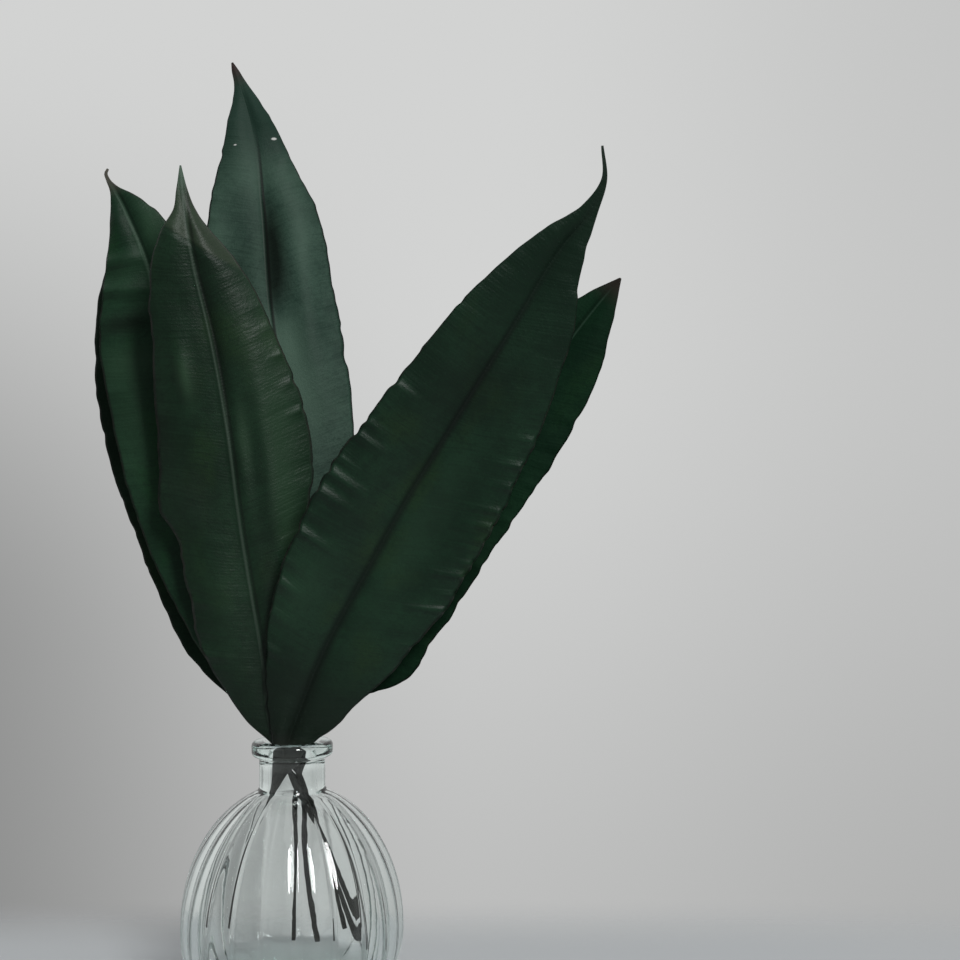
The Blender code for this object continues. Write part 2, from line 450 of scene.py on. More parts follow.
            (-58, 18.5, 228, 23, 21),
            (-65, 24, 268, 22.5, 18),
            (-70, 28, 294, 15, 10),
            (-75, 31.5, 316, 0.4, 0.4),
        ),
        "pleats": (
            (50, -1, 8, 0.7, 2.4),
            (80, -1, 8, 0.7, 2.4),
            (110, -1, 8, 0.6, 2.4),
        ),
        "dents": (),
        "shades": (),
        "flecks": (),
    },
    "leaf_tall_back": {
        "slot": "grey_leaf",
        "cup": -0.14,
        "turn": 6,
        "rib": 0.4,
        "arch": (1.4, 1.8),
        "groove": (0.6, 3.5),
        "fold": (202, 27, 3.4, 2.2),
        "rib_tone": colour(0.045, 0.062, 0.050),
        "rib_width": (0.8, 0.5),
        "rib_shade": (1.2, 0.85),
        "rib_fade": 60.0,
        "tip_dark": 0.9,
        "tip_reach": 60.0,
        "base_dark": 0.5,
        "margin_tone": colour(0.022, 0.016, 0.014),
        "tip_tone": colour(0.030, 0.020, 0.018),
        "lean": (0.3, 0.3),
        "ruffle": 0.3,
        "seed": 17,
        "rows": (
            (10, 10.5, 24, 0.7, 0.7),
            (6, 8.5, 55, 0.9, 0.9),
            (3, 7.4, 87, 1.2, 1.2),
            (0, 7.4, 107, 2.0, 2.0),
            (0, 8.0, 115, 6, 6.5),
            (1, 10.5, 140, 14, 16),
            (1.5, 18, 191, 23, 25.5),
            (-1.5, 22.5, 219, 26, 25.5),
            (-13.2, 33, 275, 24.3, 28.7),
            (-19, 44, 328, 22, 22),
            (-24, 51, 362.5, 11, 9),
            (-30.6, 55.5, 383.5, 2.0, 2.6),
            (-32.4, 56.8, 388.5, 1.3, 1.4),
            (-33.5, 57.5, 391.5, 0.4, 0.4),
        ),
        "pleats": (
            (231, -1, 9, 1.0, 2.0),
            (222, -1, 8, 0.8, 2.0),
            (246, 1, 8, 0.9, 1.8),
            (236, 1, 10, 1.2, 1.8),
            (262, 1, 8, 0.8, 1.8),
            (180, 1, 9, 0.7, 2.4),
            (120, 1, 9, 0.7, 2.4),
        ),
        "dents": (
            (178, 16, 40, 6.0, 2.2),
            (186, -4, 25, 8.0, 2.0),
            (140, -14, 30, 7, 1.0),
            (215, -21, 22, 6, 1.2),
            (272, 12, 18, 9, 3.0),
            (272, -12, 20, 9, 2.0),
            (232, 9, 9, 6, 1.0),
            (252, 6, 13, 4, -0.9),
            (120, 14, 26, 8, -0.8),
        ),
        "shades": (
            (265, 9, 16, 8, 0.7),
            (262, -5, 14, 6, -0.5),
            (187, -13, 20, 8, 0.45),
            (242, -5, 20, 12, -0.35),
            (240, 10, 16, 9, -0.4),
            (165, 4, 14, 9, -0.8),
            (142, 6, 18, 10, -0.65),
            (208, 15, 16, 5, -0.45),
            (212, -20, 14, 6, -0.6),
            (206, 4.5, 15, 3.5, 0.35),
            (190, 6, 12, 5.5, 0.35),
        ),
        "flecks": ((254, 8.3, 0.75), (253, -8.4, 0.45)),
    },
}

# For each leaf: its deep, bright, fresh and dry tones, then its roughness and shine.
FINISHES = {
    "leaf_front_right": (
        (
            colour(0.0052, 0.0184, 0.0096),
            colour(0.0096, 0.0344, 0.0168),
            colour(0.0144, 0.0368, 0.0112),
            colour(0.06, 0.07, 0.05),
        ),
        (0.40, 0.22),
    ),
    "leaf_front_left": (
        (
            colour(0.0048, 0.0168, 0.0080),
            colour(0.0092, 0.0312, 0.0145),
            colour(0.0123, 0.0360, 0.0110),
            colour(0.09, 0.10, 0.07),
        ),
        (0.42, 0.24),
    ),
    "leaf_right_back": (
        (
            colour(0.0035, 0.0140, 0.0070),
            colour(0.0070, 0.0270, 0.0125),
            colour(0.0100, 0.0350, 0.0110),
            colour(0.03, 0.028, 0.02),
        ),
        (0.65, 0.03),
    ),
    "leaf_left": (
        (
            colour(0.0080, 0.0265, 0.0136),
            colour(0.0140, 0.0450, 0.0220),
            colour(0.0120, 0.0700, 0.0196),
            colour(0.09, 0.09, 0.07),
        ),
        (0.46, 0.14),
    ),
    # The left back leaf's tones are much darker than the others', as painted shade for a leaf
    # that stands in shadow behind them.
    "leaf_left_back": (
        (
            colour(0.003, 0.010, 0.005),
            colour(0.006, 0.018, 0.009),
            colour(0.008, 0.022, 0.008),
            colour(0.03, 0.03, 0.02),
        ),
        (0.58, 0.06),
    ),
    "leaf_tall_back": (
        (
            colour(0.012, 0.034, 0.023),
            colour(0.034, 0.071, 0.050),
            colour(0.028, 0.066, 0.042),
            colour(0.12, 0.12, 0.10),
        ),
        (0.58, 0.16),
    ),
}


def smooth_rows(rows):
    """A smooth run through the rows, as closely spaced rows (Hermite curves)."""
    rows = np.array(rows, dtype=float)
    span = np.linalg.norm(np.diff(rows[:, :3], axis=0), axis=1)[:, None]
    slope = np.diff(rows, axis=0) / span
    middle = (slope[:-1] * span[1:] + slope[1:] * span[:-1]) / (span[:-1] + span[1:])
    tangent = np.vstack([slope[:1], middle, slope[-1:]])
    t = np.linspace(0, 1, SPAN_SAMPLES, endpoint=False)[:, None]
    pieces = []
    for i in range(len(rows) - 1):
        blend = t * t * (3 - 2 * t)
        leave = t * (1 - t) ** 2 * span[i]
        arrive = t * t * (t - 1) * span[i]
        start = rows[i] * (1 - blend) + tangent[i] * leave
        pieces.append(start + rows[i + 1] * blend + tangent[i + 1] * arrive)
    pieces.append(rows[-1:])
    return np.vstack(pieces)


def even_rows(rows, count):
    """The same run read at evenly spaced places, and its length along the midrib."""
    fine = smooth_rows(rows)
    step = np.linalg.norm(np.diff(fine[:, :3], axis=0), axis=1)
    along = np.concatenate([[0], np.cumsum(step)])
    places = np.linspace(0, along[-1], count)
    even = np.stack([np.interp(places, along, column) for column in fine.T], axis=1)
    return even, places


def unit(vectors):
    return vectors / np.linalg.norm(vectors, axis=1)[:, None]


def wander(place, spacing, draw):
    """A smooth irregular wave between -1 and 1, turning about once every spacing."""
    low, high = place.min(), place.max()
    steps = draw.uniform(0.5, 1.5, int((high - low) / spacing * 2) + 4) * spacing
    knots = low - spacing + np.cumsum(steps)
    values = draw.uniform(-1, 1, len(knots))
    spot = np.clip(np.searchsorted(knots, place) - 1, 0, len(knots) - 2)
    t = np.clip((place - knots[spot]) / (knots[spot + 1] - knots[spot]), 0, 1)
    return values[spot] + (values[spot + 1] - values[spot]) * t * t * (3 - 2 * t)


def pleat_field(spec, grid):
    """How far the short folds near the margins lift the blade."""
    lift = np.zeros_like(grid.reach)
    for place, side, length, height, half_width in spec["pleats"]:
        width = grid.left if side < 0 else grid.right
        inward = width[:, None] - abs(grid.reach)
        lean = spec["lean"][0 if side < 0 else 1]
        off_line = grid.along[:, None] - place + lean * inward
        fade = np.clip(1 - inward / length, 0, 1)
        fold = np.exp(-((off_line / half_width) ** 2))
        lift += height * fold * fade * (np.sign(grid.reach) == side)
    return lift


def pleat_notch(spec, along, side):
    """How far each short fold draws its margin in."""
    notch = np.zeros_like(along)
    for place, fold_side, _, height, half_width in spec["pleats"]:
        if fold_side == side:
            notch += NOTCH_SHARE * height * np.exp(-(((along - place) / half_width) ** 2))
    return notch


def patch_field(patches, grid):
    """The sum of soft round patches, each given by its centre, two radii and strength."""
    total = np.zeros_like(grid.reach)
    for place, across, long_radius, wide_radius, strength in patches:
        d = ((grid.along[:, None] - place) / long_radius) ** 2
        d = d + ((grid.reach - across) / wide_radius) ** 2
        total += strength * np.exp(-d)
    return total


def fold_field(spec, grid):
    """The drop just to the right of the midrib, as a share of its full depth."""
    place, radius, _, width = spec["fold"]
    out = np.clip(grid.reach, 0, None) / width
    span = np.exp(-(((grid.along[:, None] - place) / radius) ** 2))
    return grid.opened * (out * np.exp(1 - out) * span)


def past_crease(grid):
    """Distance beyond the slanting crease across the front left leaf's tip."""
    distance = grid.along[:, None] - CREASE_ALONG + CREASE_SLANT * grid.reach
    return distance / sqrt(1 + CREASE_SLANT**2)


def crease_field(beyond):
    """The blade beyond the crease is bent back, with a narrow dip along the crease."""
    smooth = (beyond + np.sqrt(beyond**2 + CREASE_SOFTNESS)) / 2
    dip = CREASE_DIP * np.exp(-((beyond / CREASE_DIP_RADIUS) ** 2))
    return -np.tan(radians(CREASE_ANGLE)) * smooth - dip


def uneven_margin(spec, width, along, opened, side, draw):
    """How far a margin reaches, with its small waves and a notch at each short fold."""
    waves = sum(height * wander(along, spacing, draw) for spacing, height in MARGIN_WAVES)
    return width + opened * waves - opened * pleat_notch(spec, along, side)


def leaf_grid(spec, draw):
    """The leaf's stations along its midrib, and its columns from margin to margin."""
    rows, run = even_rows(spec["rows"], STATIONS)
    grid = SimpleNamespace(centre=rows[:, :3])
    grid.along = run - np.interp(VASE_HEIGHT, grid.centre[:, 2], run)
    grid.share = np.clip(grid.along / grid.along[-1], 0, 1)[:, None]
    grid.spread = np.clip((grid.centre[:, 2] - VASE_HEIGHT) / SPREAD_HEIGHT, 0, 1)[:, None]
    opened = np.clip((np.minimum(rows[:, 3], rows[:, 4]) - BLADE_START) / BLADE_OPENING, 0, 1)
    grid.opened = opened[:, None]
    grid.left = uneven_margin(spec, rows[:, 3], grid.along, opened, -1, draw)
    grid.right = uneven_margin(spec, rows[:, 4], grid.along, opened, 1, draw)
    t = np.linspace(-1, 1, 2 * HALF_COLUMNS + 1)
    grid.column = np.sign(t) * abs(t) ** COLUMN_POWER
    width = np.where(grid.column < 0, grid.left[:, None], grid.right[:, None])
    grid.reach = width * grid.column
    grid.margin = width - abs(grid.reach)
    grid.edge = abs(grid.column)[None, :] * np.ones_like(grid.reach)
    return grid


def leaf_axes(spec, grid):
    """For each station, the directions across the blade and out of its front."""
    tangent = unit(np.gradient(grid.centre, axis=0))
    swing = radians(spec["turn"]) * grid.spread
    level = unit(np.cross(tangent, (0, -1, 0)))
    across = level * np.cos(swing) - np.cross(level, tangent) * np.sin(swing)
    return across, np.cross(across, tangent)


def ruffles(grid, draw):
    """The slow waves along the left half of the blade and along the right one."""
    left = sum(wander(grid.along, spacing, draw) for spacing in LEFT_RUFFLES)
    right = sum(wander(grid.along, spacing, draw) for spacing in RIGHT_RUFFLES)
    return np.where(grid.column < 0, left[:, None], right[:, None])


def blade_lift(spec, grid, fold, draw):
    """How far the blade stands forward of a flat strip through its midrib."""
    lift = spec["cup"] * grid.spread * abs(grid.reach)
    lift += spec["ruffle"] * grid.opened * ruffles(grid, draw) * grid.edge**3
    arch = np.where(grid.column < 0, *spec["arch"]) * np.sin(pi * abs(grid.column))
    depth, radius = spec["groove"]
    dip = depth * np.exp(-((grid.reach / radius) ** 2)) * (1 - 0.5 * grid.share)
    lift += grid.opened * (arch - dip)
    lift += grid.opened * pleat_field(spec, grid)
    lift += grid.opened * patch_field(spec["dents"], grid)
    lift -= spec["fold"][2] * fold
    slow = wander(grid.along, SWELL_SPACING, draw)[:, None]
    lift += SWELL_HEIGHT * grid.opened * slow * np.sin(grid.reach / SWELL_REACH)
    return lift


def blade_faces(spec, grid, lift):
    """How far the front face and the back face stand forward."""
    rib = STALK_THICKNESS + (TIP_RIB_THICKNESS - STALK_THICKNESS) * grid.share
    round_rib = np.sqrt(np.clip(1 - (grid.reach / STALK_HALF_WIDTH) ** 2, 0, 1))
    plate = BLADE_THICKNESS * np.sqrt(1 - grid.edge**8)
    thickness = np.maximum(plate, rib * round_rib)
    thickness = np.minimum(thickness, 1.2 * np.minimum(grid.left, grid.right)[:, None])
    relief = grid.opened * spec["rib"] * np.exp(-((grid.reach / RIB_RADIUS) ** 2))
    stalk = 1 - grid.opened
    front = lift + stalk * thickness / 2 + (1 - stalk) * plate / 2
    front += relief * (1 - 0.6 * grid.share)
    back = lift - stalk * thickness / 2 - (1 - stalk) * (thickness - plate / 2)
    back = np.where(grid.edge >= 1, front, np.minimum(back, front - 0.15 * plate))
    return front, back


def leaf_points(name, spec):
    """Front and back points, place values and state values, by station and column."""
    draw = np.random.default_rng(spec["seed"])
    grid = leaf_grid(spec, draw)
    fold = fold_field(spec, grid)
    lift = blade_lift(spec, grid, fold, draw)
    # Painted shade and painted highlights from the patches, plus painted shade in the fold's
    # valley.
    shade = patch_field(spec["shades"], grid) + fold * spec["fold"][2] / DEEPEST_FOLD
    bent = np.zeros_like(grid.reach)
    if name == CREASED_LEAF:
        beyond = past_crease(grid)
        lift += crease_field(beyond)
        bent = np.clip(beyond / CREASE_BLEND, 0, 1)
    across, forward = leaf_axes(spec, grid)
    front, back = blade_faces(spec, grid, lift)
    base = grid.centre[:, None] + across[:, None] * grid.reach[..., None]
    along = grid.along[:, None] * np.ones_like(grid.reach)
    return (
        base + forward[:, None] * front[..., None],
        base + forward[:, None] * back[..., None],
        np.stack([grid.reach, along, grid.margin], axis=2),
        np.stack([np.zeros_like(bent), bent, shade], axis=2),
    )


def ring_faces(stations, around):
    """Quads of a tube of closed rings, and its two end faces."""
    i = np.arange(stations - 1)[:, None] * around
    j = np.arange(around)[None, :]
    k = (j + 1) % around
    quads = np.stack([i + j, i + k, i + around + k, i + around + j], axis=2)
    faces = quads.reshape(-1, 4).tolist()
    faces.append(list(range(around))[::-1])
    faces.append(list(range((stations - 1) * around, stations * around)))
    return faces


def add_values(mesh, name, values):
    layer = mesh.attributes.new(name, "FLOAT_VECTOR", "POINT")
    layer.data.foreach_set("vector", np.asarray(values, dtype=np.float32).ravel())


def leaf_piece(name, spec):
    front, back, places, state = leaf_points(name, spec)
    tip = float(places[-1, 0, 1])
    ring = np.concatenate([front, back[:, -2:0:-1]], axis=1)
    ring_places = np.concatenate([places, places[:, -2:0:-1]], axis=1)
    under_state = state[:, -2:0:-1] * (1, 1, 0) + (1, 0, 0)
    ring_state = np.concatenate([state, under_state], axis=1)
    mesh = bpy.data.meshes.new(name + "_blade")
    mesh.from_pydata((ring * MM).reshape(-1, 3).tolist(), [], ring_faces(*ring.shape[:2]))
    add_values(mesh, "leaf_place", ring_places)
    add_values(mesh, "leaf_state", ring_state)
    mesh.shade_smooth()
    mesh.materials.append(leaf_material(name + "_skin", spec, *FINISHES[name], tip))
    piece = bpy.data.objects.new(name + "_blade", mesh)
    bpy.context.scene.collection.objects.link(piece)
    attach(piece, "root")
    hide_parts(name)


def body_radius(height):
    """Outer radius of the vase's globe, in millimetres, before its lobes are cut."""
    rise = np.where(height > WIDEST_HEIGHT, UPPER_RISE, LOWER_RISE)
    return BODY_RADIUS * np.sqrt(1 - ((height - WIDEST_HEIGHT) / rise) ** 2)


def arc(centre, radius, start, end, count):
    """Points of an arc in the profile's plane, with angles in degrees."""
    angles = np.radians(np.linspace(start, end, count))
    turned = np.stack([np.cos(angles), np.sin(angles)], axis=1)
    return np.array(centre) + radius * turned


def vase_profile():
    """Radius and height, up the inside and down the outside, in millimetres."""
    inner = np.linspace(NECK_BOTTOM - 3, FLOOR_HEIGHT + 5, 44)[::-1]
    inside = np.stack([body_radius(inner) - WALL, inner], axis=1)
    floor = np.stack([np.linspace(0, FLOOR_RADIUS, 12), np.full(12, FLOOR_HEIGHT)], axis=1)
    lip = arc((BORE_RADIUS + LIP_ROUND, VASE_HEIGHT - LIP_ROUND), LIP_ROUND, 180, 90, 10)
    rim_top = arc((RIM_RADIUS - RIM_ROUND, VASE_HEIGHT - RIM_ROUND), RIM_ROUND, 90, 0, 10)
    rim_foot = arc((RIM_RADIUS - RIM_ROUND, RIM_BOTTOM + RIM_ROUND), RIM_ROUND, 0, -90, 10)
    neck = [(NECK_RADIUS, RIM_BOTTOM - 0.8), (NECK_RADIUS, 96), (NECK_RADIUS, 92)]
    neck += [(NECK_RADIUS, NECK_BOTTOM + 2), (NECK_RADIUS + 0.6, NECK_BOTTOM + 0.4)]
    outer = np.linspace(NECK_BOTTOM - 1, 1.5, 60)
    outside = np.stack([body_radius(outer), outer], axis=1)
    foot = [(BASE_RADIUS + 1.2, 0.3), (BASE_RADIUS, 0)]
    base = np.stack([np.linspace(BASE_RADIUS, 0, 10)[1:], np.zeros(9)], axis=1)
    bore = [(BORE_RADIUS + 1.2, NECK_BOTTOM - 0.5), (BORE_RADIUS, NECK_BOTTOM + 1.5)]
    bore += [(BORE_RADIUS, 92), (BORE_RADIUS, 96), (BORE_RADIUS, 100)]
    return np.vstack([floor, inside, bore, lip, rim_top, rim_foot, neck, outside, foot, base])


def turned_faces(rings, around):
    """Faces of a turned shape whose first and last profile points lie on the axis."""
    faces = []
    last = 1 + (rings - 2) * around
    for j in range(around):
        k = (j + 1) % around
        faces.append((0, 1 + j, 1 + k))
        for i in range(rings - 3):
            low = 1 + i * around
            faces.append((low + j, low + around + j, low + around + k, low + k))
        low = 1 + (rings - 3) * around
        faces.append((low + k, low + j, last))
    return faces


def vase_mesh():
    profile = vase_profile()
    around = LOBES * STEPS_PER_LOBE
    angles = np.arange(around) / around * 2 * pi
    ring = profile[1:-1]
    radius, height = ring[:, :1], ring[:, 1:]
    outside = radius > body_radius(np.clip(height, 0, NECK_BOTTOM)) - WALL / 2
    share = np.where(outside, 1, INNER_FLUTE_SHARE)
    bottom = np.where(outside, 0, FLOOR_HEIGHT)
    fade = np.clip(np.minimum(height - bottom, NECK_BOTTOM - height) / FLUTE_FADE, 0, 1)
    valley = 1 - abs(np.cos(LOBES / 2 * (angles - radians(LOBE_TURN))))[None, :]
    reach = radius * (1 - FLUTE_RATIO * share * fade * valley)
    points = np.stack([reach * np.cos(angles), reach * np.sin(angles)], axis=2)
    points = np.concatenate([points, (height * np.ones_like(reach))[..., None]], axis=2)
    points = np.vstack([[(0, 0, FLOOR_HEIGHT)], points.reshape(-1, 3), [(0, 0, 0)]])
    mesh = bpy.data.meshes.new("ribbed_vase")
    mesh.from_pydata((points * MM).tolist(), [], turned_faces(len(profile), around))
    mesh.shade_smooth()
    return mesh


def vase_piece():
    mesh = vase_mesh()
    mesh.materials.append(glass_material())
    piece = bpy.data.objects.new("ribbed_vase", mesh)
    bpy.context.scene.collection.objects.link(piece)
    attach(piece, "root")
    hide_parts("glass_vase")


class Nodes:
    """A short way to add and join shader nodes."""

    def __init__(self, tree):
        self.tree = tree

    def add(self, kind, **settings):
        node = self.tree.nodes.new(kind)
        for key, value in settings.items():
            setattr(node, key, value)
        return node

    def feed(self, socket, value):
        if isinstance(value, bpy.types.NodeSocket):
            self.tree.links.new(value, socket)
        else:
            socket.default_value = value

    def math(self, operation, a, b=0.0, clamp=False):
        node = self.add("ShaderNodeMath", operation=operation, use_clamp=clamp)
        self.feed(node.inputs[0], a)
        self.feed(node.inputs[1], b)
        return node.outputs[0]

    def noise(self, vector, scale, detail=3.0, roughness=0.5):
        node = self.add("ShaderNodeTexNoise")
        self.feed(node.inputs["Vector"], vector)
        self.feed(node.inputs["Scale"], scale)
        self.feed(node.inputs["Detail"], detail)
        self.feed(node.inputs["Roughness"], roughness)
        return node.outputs["Fac"]

    def attribute(self, name):
        return self.add("ShaderNodeAttribute", attribute_name=name).outputs["Vector"]

    def split(self, vector):
        node = self.add("ShaderNodeSeparateXYZ")
        self.feed(node.inputs[0], vector)
        return node.outputs

    def join(self, x, y, z=0.0):
        node = self.add("ShaderNodeCombineXYZ")
        for socket, value in zip(node.inputs, (x, y, z)):
            self.feed(socket, value)
        return node.outputs[0]

    def ramp(self, value, low, high, start=0.0, end=1.0):
        node = self.add("ShaderNodeMapRange", interpolation_type="SMOOTHSTEP")
        for socket, number in zip(node.inputs[:5], (value, low, high, start, end)):
            self.feed(socket, number)
        return node.outputs[0]

    def mix(self, factor, a, b, blend="MIX"):
        node = self.add("ShaderNodeMix", data_type="RGBA", blend_type=blend)
        self.feed(node.inputs[0], factor)
        self.feed(node.inputs[6], a)
        self.feed(node.inputs[7], b)
        return node.outputs[2]

    def layers(self, base, rows):
        """Lays each tone over the base where its field runs from low to high."""
        for field, low, high, strength, tone in rows:
            base = self.mix(self.ramp(field, low, high, 0.0, strength), base, tone)
        return base

    def bump(self, height, strength, distance):
        node = self.add("ShaderNodeBump")
        self.feed(node.inputs["Strength"], strength)
        self.feed(node.inputs["Distance"], distance)
        self.feed(node.inputs["Height"], height)
        return node.outputs[0]


def new_material(name):
    material = bpy.data.materials.new(name)
    material.use_nodes = True
    nodes = Nodes(material.node_tree)
    return material, nodes, material.node_tree.nodes["Principled BSDF"]


def leaf_fields(n, spec):
    """What a leaf's skin is made from: measures, states, veins and noises.

    The leaf_place attribute holds the distance across the blade from the midrib,
    the distance along it from the vase's mouth, and the distance from the margin.
    The leaf_state attribute is 1 in x on the back and 1 in y past the crease. Its z
    is above zero where shade is painted and below zero where a highlight is painted.
    """
    f = SimpleNamespace(seed=spec["seed"] * 10.0)
    f.across, f.along, f.margin = n.split(n.attribute("leaf_place"))
    f.back, f.bent, shade = n.split(n.attribute("leaf_state"))
    # Painted shade where the state's z is above zero, a painted highlight where it is below.
    f.dark = n.math("MAXIMUM", shade, 0.0, clamp=True)
    f.faded = n.math("MULTIPLY", shade, -1.0, clamp=True)
    away = n.math("ABSOLUTE", f.across)
    rib_width = n.ramp(f.along, 0.0, spec["rib_fade"], *spec["rib_width"])
    f.rib_line = n.ramp(n.math("DIVIDE", away, rib_width), 0.1, 1.1, 1.0, 0.0)

    flat = n.join(f.across, f.along, f.seed)
    climb = vein_climb(n, spec, f, away, flat)
    f.strand = n.noise(n.join(n.math("MULTIPLY", f.across, 0.06), climb, f.seed), 0.9, 2.0)
    turns = n.math("MULTIPLY", climb, 2 * pi / VEIN_SPACING)
    phase = n.math("ADD", turns, n.math("MULTIPLY", f.strand, 2.2))
    vein = n.math("ADD", n.math("MULTIPLY", n.math("SINE", phase), 0.5), 0.5)
    f.vein = n.math("MULTIPLY", vein, n.ramp(n.noise(flat, 0.11, 2.0), 0.3, 0.65, 0.25, 1.0))
    f.swell = n.noise(n.join(n.math("MULTIPLY", f.across, 0.04), climb, f.seed + 5), 0.22, 2.0)
    f.cloud = n.noise(flat, 0.035, 4.0, 0.6)
    f.patch = n.noise(n.join(f.across, n.math("MULTIPLY", f.along, 0.55), f.seed + 2), 0.05, 2.0)
    f.grain = n.noise(flat, 1.6, 4.0, 0.7)
    f.mottle = n.noise(flat, 0.22, 3.0, 0.6)
    f.pores = n.noise(flat, 0.75, 3.0, 0.6)
    return f


def vein_climb(n, spec, f, away, flat):
    """Distance along the blade, followed down the leaning side veins to the midrib."""
    left_lean, right_lean = spec["lean"]
    on_right = n.math("GREATER_THAN", f.across, 0.0)
    lean = n.math("ADD", n.math("MULTIPLY", on_right, right_lean - left_lean), left_lean)
    drift = n.math("MULTIPLY", n.noise(flat, 0.03, 1.0), 5.0)
    return n.math("ADD", n.math("SUBTRACT", f.along, n.math("MULTIPLY", away, lean)), drift)


def blade_skin(n, f, tones):
    """Colour of the plain blade: clouds, patches, veins, strands, pores and grain."""
    deep, bright, fresh, dry = tones
    broad = ((f.cloud, 0.36, 0.64, 1.0, bright), (f.patch, 0.52, 0.72, 0.7, fresh))
    fine = (
        (f.strand, 0.52, 0.72, 0.5, bright),
        (f.strand, 0.48, 0.30, 0.5, deep),
        (f.mottle, 0.50, 0.72, 0.55, deep),
        (f.pores, 0.50, 0.68, 0.5, deep),
        (f.pores, 0.46, 0.32, 0.35, bright),
        (f.grain, 0.48, 0.68, 0.65, deep),
        (f.grain, 0.30, 0.24, 0.5, dry),
    )
    skin = n.layers(deep, broad)
    skin = n.mix(n.math("MULTIPLY", f.vein, 0.2), skin, bright)
    return n.layers(skin, fine)


def mark_blade(n, f, spec, tones, skin):
    """The same with the bent tip painted paler as painted light, the midrib, its painted shade
    and painted highlights, the painted shadow beside the midrib, and its margin.
    """
    _, bright, fresh, dry = tones
    # Painted light: the blade past the crease, bent back towards the light, is painted paler.
    skin = n.mix(n.math("MULTIPLY", f.bent, 0.35), skin, n.mix(0.5, fresh, dry))
    # The midrib line: painted shade in a dark grooved midrib, the rib's own paler colour with
    # partly a painted highlight on a raised one.
    rib_tone = n.mix(n.ramp(f.grain, 0.60, 0.75, 0.0, 0.5), spec["rib_tone"], dry)
    skin = n.mix(n.math("MULTIPLY", f.rib_line, 0.8), skin, rib_tone)
    # Painted highlights pale the skin, and painted shade darkens it towards SHADE_TONE.
    pale = colour(*(HIGHLIGHT_GAIN * value for value in bright[:3]))
    skin = n.mix(f.faded, skin, n.mix(0.15, pale, dry))
    skin = n.mix(n.math("MULTIPLY", f.dark, 0.85), skin, SHADE_TONE)
    # A painted shadow line beside the midrib.
    line_place, line_strength = spec["rib_shade"]
    beside = n.math("ABSOLUTE", n.math("SUBTRACT", f.across, line_place))
    skin = n.mix(n.ramp(beside, 0.2, 1.0, line_strength, 0.0), skin, SHADE_TONE)
    broken = n.ramp(n.noise(n.join(0.0, f.along, f.seed + 3), 0.25, 3.0), 0.35, 0.65)
    rim = n.math("MULTIPLY", n.ramp(f.margin, 0.1, 0.8, 1.0, 0.0), broken)
    return n.mix(rim, skin, spec["margin_tone"])


def fleck_share(n, f, along, across, radius):
    """1 in the middle of a small fleck, which is twice as wide as it is long."""
    gap = n.add("ShaderNodeVectorMath", operation="DISTANCE")
    n.feed(gap.inputs[0], n.join(n.math("MULTIPLY", f.across, 0.5), f.along))
    n.feed(gap.inputs[1], (0.5 * across, along, 0.0))
    return n.ramp(gap.outputs["Value"], 0.4 * radius, radius, 1.0, 0.0)


def mark_ends(n, f, spec, deep, tip, skin):
    """The same with its dark end, dry tip, flecks, painted shade at its base and stalk."""
    end = n.ramp(f.along, tip - spec["tip_reach"], tip - 30.0, 0.0, spec["tip_dark"])
    skin = n.mix(end, skin, deep)
    skin = n.mix(n.ramp(f.along, tip - 14.0, tip - 2.0), skin, spec["tip_tone"])
    for fleck in spec["flecks"]:
        skin = n.mix(fleck_share(n, f, *fleck), skin, FLECK_TONE)
    # Painted shade over the first part of the blade above the vase's mouth.
    skin = n.mix(n.ramp(f.along, 0.0, 60.0, spec["base_dark"], 0.0), skin, MOUTH_SHADE_TONE)
    return n.mix(n.ramp(f.along, -6.0, 6.0, 1.0, 0.0), skin, STALK_TONE)


def leaf_roughness(n, f, spec, rough):
    """Uneven roughness, duller along a grooved midrib and where shade is painted."""
    uneven = n.math("ADD", n.math("MULTIPLY", f.cloud, 0.14), n.math("MULTIPLY", f.grain, 0.10))
    uneven = n.math("ADD", uneven, rough - 0.12)
    rib_dull = n.math("MULTIPLY", f.rib_line, 0.6 if spec["rib"] < 0 else 0.1)
    dull = n.math("MAXIMUM", rib_dull, n.math("MULTIPLY", f.dark, 0.9))
    return n.math("ADD", uneven, n.math("MULTIPLY", dull, 0.4))


def leaf_relief(n, f):
    """Height of the fine relief: a swell that grows towards the margins, veins and grain."""
    height = n.math("MULTIPLY", f.swell, n.ramp(f.margin, 2.0, 22.0, 1.2, 0.3))
    for field, share in ((f.vein, 0.06), (f.grain, 0.24), (f.pores, 0.40), (f.strand, 0.10)):
        height = n.math("ADD", height, n.math("MULTIPLY", field, share))
    return height


def leaf_material(name, spec, tones, gloss, tip):
    """Leaf skin whose tip is the given distance along the blade."""
    rough, shine = gloss
    material, n, shader = new_material(name)
    f = leaf_fields(n, spec)
    skin = blade_skin(n, f, tones)
    skin = mark_blade(n, f, spec, tones, skin)
    skin = mark_ends(n, f, spec, tones[0], tip, skin)
    n.feed(shader.inputs["Base Color"], n.mix(f.back, skin, n.mix(0.5, skin, UNDER_TONE)))
    n.feed(shader.inputs["Roughness"], leaf_roughness(n, f, spec, rough))
    n.feed(shader.inputs["Specular IOR Level"], shine)
    n.feed(shader.inputs["Normal"], n.bump(leaf_relief(n, f), 0.7, 0.0006))
    return material


